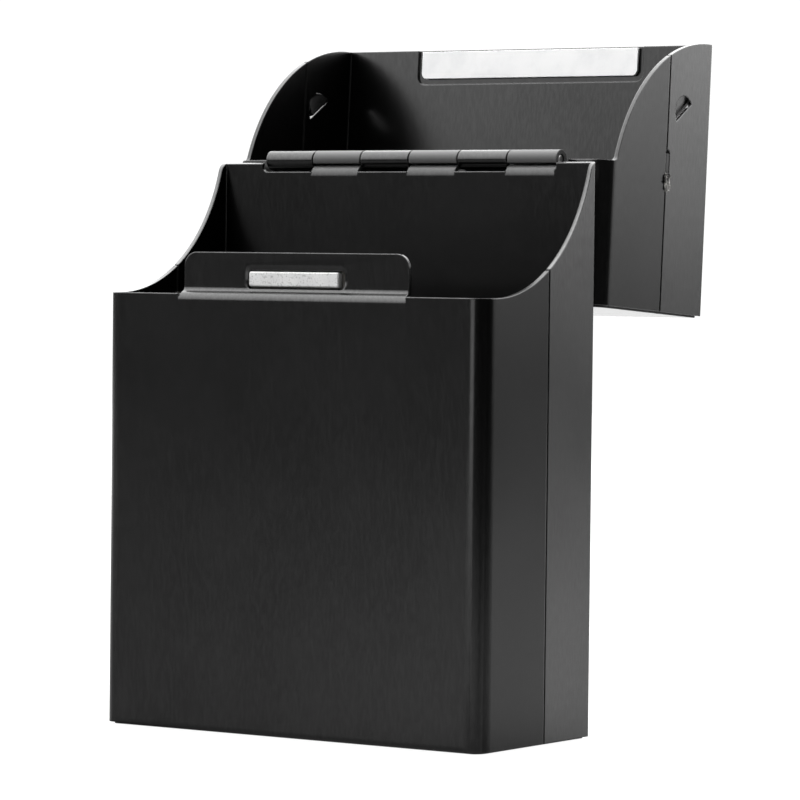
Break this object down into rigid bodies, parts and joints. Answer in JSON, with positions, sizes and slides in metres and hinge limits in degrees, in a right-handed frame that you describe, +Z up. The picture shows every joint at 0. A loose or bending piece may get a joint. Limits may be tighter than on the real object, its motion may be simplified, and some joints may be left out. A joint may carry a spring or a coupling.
{
  "type": "cigarette case",
  "caption": "Pocket cigarette case of folded black anodised sheet aluminium with a rolled-knuckle hinged flip lid and a magnetic latch, shown open.",
  "frame": {"origin": "centre of the underside of the body's base", "axes": "+X across the case to the right as seen from the front, +Y from the short front wall to the tall back wall with the hinge, +Z up"},
  "size_m": [0.0602, 0.0563, 0.0915],
  "materials": {
    "anodised_sheet": "black anodised, satin, fine vertical grain",
    "pin_steel": "drawn wire",
    "magnet_plating": "nickel plated, finely speckled",
    "keeper_steel": "bright tinned strip",
    "dark_adhesive": "set epoxy",
    "pale_adhesive": "set adhesive, matt"
  },
  "bodies": {
    "body": {"body_shell": "anodised_sheet", "hinge_pin": "pin_steel", "latch_magnet": "magnet_plating", "magnet_adhesive": "dark_adhesive", "body_seam_bond_left": "dark_adhesive", "body_seam_bond_right": "dark_adhesive"},
    "lid": {"lid_shell": "anodised_sheet", "keeper_plate": "keeper_steel", "keeper_adhesive": "dark_adhesive", "lid_seam_tack_left": "pale_adhesive", "lid_seam_tack_right": "pale_adhesive"}
  },
  "joints": [
    {"name": "lid_hinge", "type": "hinge", "parent": "body", "child": "lid", "pos_m": [0, 0.0144, 0.07535], "axis": [1, 0, 0], "range_deg": [0, 183.6]}
  ]
}
